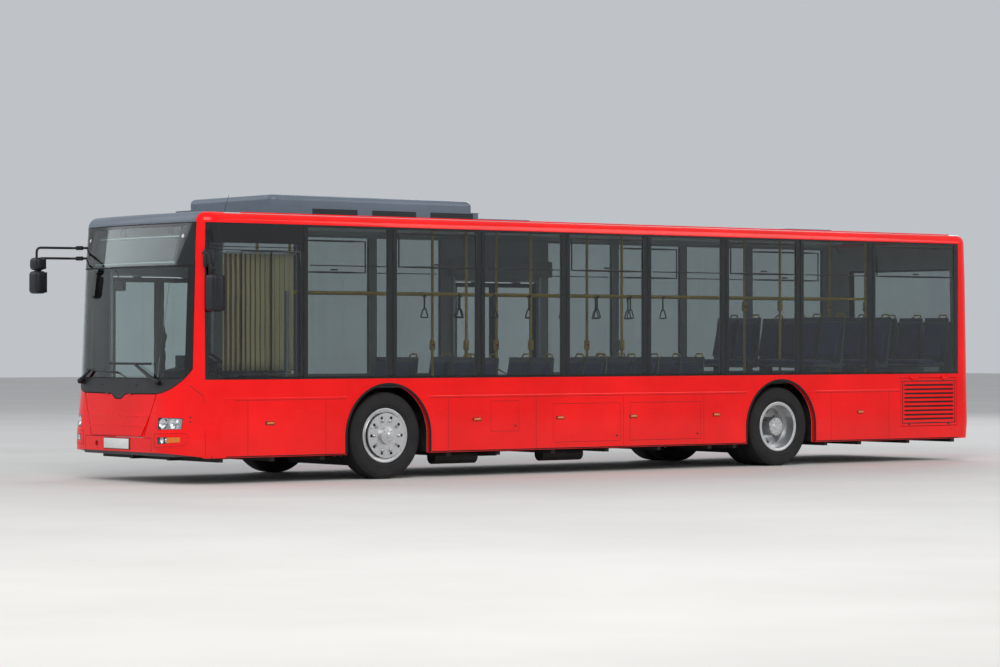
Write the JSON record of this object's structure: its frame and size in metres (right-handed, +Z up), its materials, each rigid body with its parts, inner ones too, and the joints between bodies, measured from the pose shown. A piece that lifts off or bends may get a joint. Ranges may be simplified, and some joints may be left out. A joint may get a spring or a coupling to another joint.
{
  "type": "city bus",
  "caption": "Low-floor single-deck city bus with a raked windscreen, wide dark glazing, inward-swinging doors, steered front axle, twin rear wheels and opening flaps.",
  "frame": {"origin": "on the ground under the centre of the whole bus, mirrors included", "axes": "+X towards the front, +Y to the left side, +Z up"},
  "size_m": [12.2298, 3, 3.105],
  "materials": {
    "black_frame": "satin black",
    "cast": "painted black",
    "clear_glass": "clear",
    "dark_plastic": "grained",
    "fabric": "plush",
    "floor": "sheet",
    "grey_paint": "satin paint",
    "grey_plastic": "grained",
    "lamp": "clear lens",
    "rail": "gloss paint",
    "red_paint": "gloss paint",
    "rim_steel": "silver paint",
    "steel": "bare",
    "tail_lamp": "red lens",
    "tinted_glass": "dark tint",
    "tyre": "matt"
  },
  "bodies": {
    "body": {"front_mask": "red_paint", "front_bumper": "red_paint", "front_lamps": "lamp", "front_pillars": "red_paint", "front_dome": "grey_paint", "windscreen": "clear_glass", "screen_frame": "black_frame", "side_wall_left": "red_paint", "side_wall_right": "red_paint", "windows": "tinted_glass", "rear_panel": "red_paint", "tail_lamps": "tail_lamp", "roof_panel": "grey_paint", "roof_pod": "grey_paint", "door_headers": "grey_plastic", "floor_deck": "floor", "rear_platform": "floor", "wheel_housings": "grey_plastic", "underframe": "cast", "front_axle": "cast", "rear_axle": "cast", "air_parts": "steel", "engine_block": "cast", "mirrors": "dark_plastic", "wipers": "dark_plastic", "dashboard": "dark_plastic", "steering_wheel": "dark_plastic", "driver_seat": "fabric", "cab_partition": "grey_plastic", "passenger_seats": "fabric", "handrails": "rail", "destination_sign": "dark_plastic"},
    "front_flap": {"front_flap": "red_paint"},
    "radiator_flap": {"radiator_flap": "red_paint"},
    "engine_flap": {"engine_flap": "red_paint"},
    "hatch_front": {"hatch_front": "grey_paint"},
    "hatch_rear": {"hatch_rear": "grey_paint"},
    "door_post_front_a": {"door_post_front_a": "grey_plastic"},
    "door_leaf_front_a": {"door_leaf_front_a": "black_frame", "door_glass_front_a": "tinted_glass"},
    "door_post_front_b": {"door_post_front_b": "grey_plastic"},
    "door_leaf_front_b": {"door_leaf_front_b": "black_frame", "door_glass_front_b": "tinted_glass"},
    "door_post_mid_a": {"door_post_mid_a": "grey_plastic"},
    "door_leaf_mid_a": {"door_leaf_mid_a": "black_frame", "door_glass_mid_a": "tinted_glass"},
    "door_post_mid_b": {"door_post_mid_b": "grey_plastic"},
    "door_leaf_mid_b": {"door_leaf_mid_b": "black_frame", "door_glass_mid_b": "tinted_glass"},
    "knuckle_left": {"knuckle_left": "cast"},
    "wheel_front_left": {"rim_front_left": "rim_steel", "tyre_front_left": "tyre"},
    "wheel_rear_left": {"rim_rear_left": "rim_steel", "tyre_rear_left": "tyre"},
    "knuckle_right": {"knuckle_right": "cast"},
    "wheel_front_right": {"rim_front_right": "rim_steel", "tyre_front_right": "tyre"},
    "wheel_rear_right": {"rim_rear_right": "rim_steel", "tyre_rear_right": "tyre"}
  },
  "joints": [
    {"name": "front_flap_hinge", "type": "hinge", "parent": "body", "child": "front_flap", "pos_m": [5.8441, 0, 0.947], "axis": [0, -1, 0], "range_deg": [0, 75]},
    {"name": "radiator_flap_hinge", "type": "hinge", "parent": "body", "child": "radiator_flap", "pos_m": [-5.265, 1.262, 1.053], "axis": [1, 0, 0], "range_deg": [0, 80]},
    {"name": "engine_flap_hinge", "type": "hinge", "parent": "body", "child": "engine_flap", "pos_m": [-6.097, 0, 1.463], "axis": [0, 1, 0], "range_deg": [0, 80]},
    {"name": "hatch_front_hinge", "type": "hinge", "parent": "body", "child": "hatch_front", "pos_m": [1.261, 0, 2.911], "axis": [0, 1, 0], "range_deg": [0, 70]},
    {"name": "hatch_rear_hinge", "type": "hinge", "parent": "body", "child": "hatch_rear", "pos_m": [-3.639, 0, 2.911], "axis": [0, 1, 0], "range_deg": [0, 70]},
    {"name": "door_front_drive", "type": "hinge", "parent": "body", "child": "door_post_front_a", "pos_m": [5.25, -1.148, 1.3], "axis": [0, 0, -1], "range_deg": [0, 90]},
    {"name": "door_front_leaf_a", "type": "hinge", "parent": "door_post_front_a", "child": "door_leaf_front_a", "pos_m": [4.9, -1.148, 1.3], "axis": [0, 0, 1], "range_deg": [0, 180]},
    {"name": "door_front_post_b", "type": "hinge", "parent": "body", "child": "door_post_front_b", "pos_m": [3.92, -1.148, 1.3], "axis": [0, 0, 1], "range_deg": [0, 90]},
    {"name": "door_front_leaf_b", "type": "hinge", "parent": "door_post_front_b", "child": "door_leaf_front_b", "pos_m": [4.27, -1.148, 1.3], "axis": [0, 0, -1], "range_deg": [0, 180]},
    {"name": "door_mid_drive", "type": "hinge", "parent": "body", "child": "door_post_mid_a", "pos_m": [0.47, -1.148, 1.3], "axis": [0, 0, -1], "range_deg": [0, 90]},
    {"name": "door_mid_leaf_a", "type": "hinge", "parent": "door_post_mid_a", "child": "door_leaf_mid_a", "pos_m": [0.12, -1.148, 1.3], "axis": [0, 0, 1], "range_deg": [0, 180]},
    {"name": "door_mid_post_b", "type": "hinge", "parent": "body", "child": "door_post_mid_b", "pos_m": [-0.86, -1.148, 1.3], "axis": [0, 0, 1], "range_deg": [0, 90]},
    {"name": "door_mid_leaf_b", "type": "hinge", "parent": "door_post_mid_b", "child": "door_leaf_mid_b", "pos_m": [-0.51, -1.148, 1.3], "axis": [0, 0, -1], "range_deg": [0, 180]},
    {"name": "steering", "type": "hinge", "parent": "body", "child": "knuckle_left", "pos_m": [3.165, 0.98, 0.478], "axis": [0, 0, 1], "range_deg": [-45, 45]},
    {"name": "wheel_front_left_spin", "type": "hinge", "parent": "knuckle_left", "child": "wheel_front_left", "pos_m": [3.165, 1.06, 0.478], "axis": [0, 1, 0], "continuous": true},
    {"name": "wheel_rear_left_spin", "type": "hinge", "parent": "body", "child": "wheel_rear_left", "pos_m": [-2.71, 0.915, 0.478], "axis": [0, 1, 0], "continuous": true},
    {"name": "steering_right", "type": "hinge", "parent": "body", "child": "knuckle_right", "pos_m": [3.165, -0.98, 0.478], "axis": [0, 0, 1], "range_deg": [-45, 45]},
    {"name": "wheel_front_right_spin", "type": "hinge", "parent": "knuckle_right", "child": "wheel_front_right", "pos_m": [3.165, -1.06, 0.478], "axis": [0, 1, 0], "continuous": true},
    {"name": "wheel_rear_right_spin", "type": "hinge", "parent": "body", "child": "wheel_rear_right", "pos_m": [-2.71, -0.915, 0.478], "axis": [0, 1, 0], "continuous": true}
  ],
  "couplings": [
    {"joint": "door_front_leaf_a", "follows": "door_front_drive", "ratio": 2},
    {"joint": "door_front_post_b", "follows": "door_front_drive", "ratio": 1},
    {"joint": "door_front_leaf_b", "follows": "door_front_drive", "ratio": 2},
    {"joint": "door_mid_leaf_a", "follows": "door_mid_drive", "ratio": 2},
    {"joint": "door_mid_post_b", "follows": "door_mid_drive", "ratio": 1},
    {"joint": "door_mid_leaf_b", "follows": "door_mid_drive", "ratio": 2},
    {"joint": "steering_right", "follows": "steering", "ratio": 1}
  ]
}
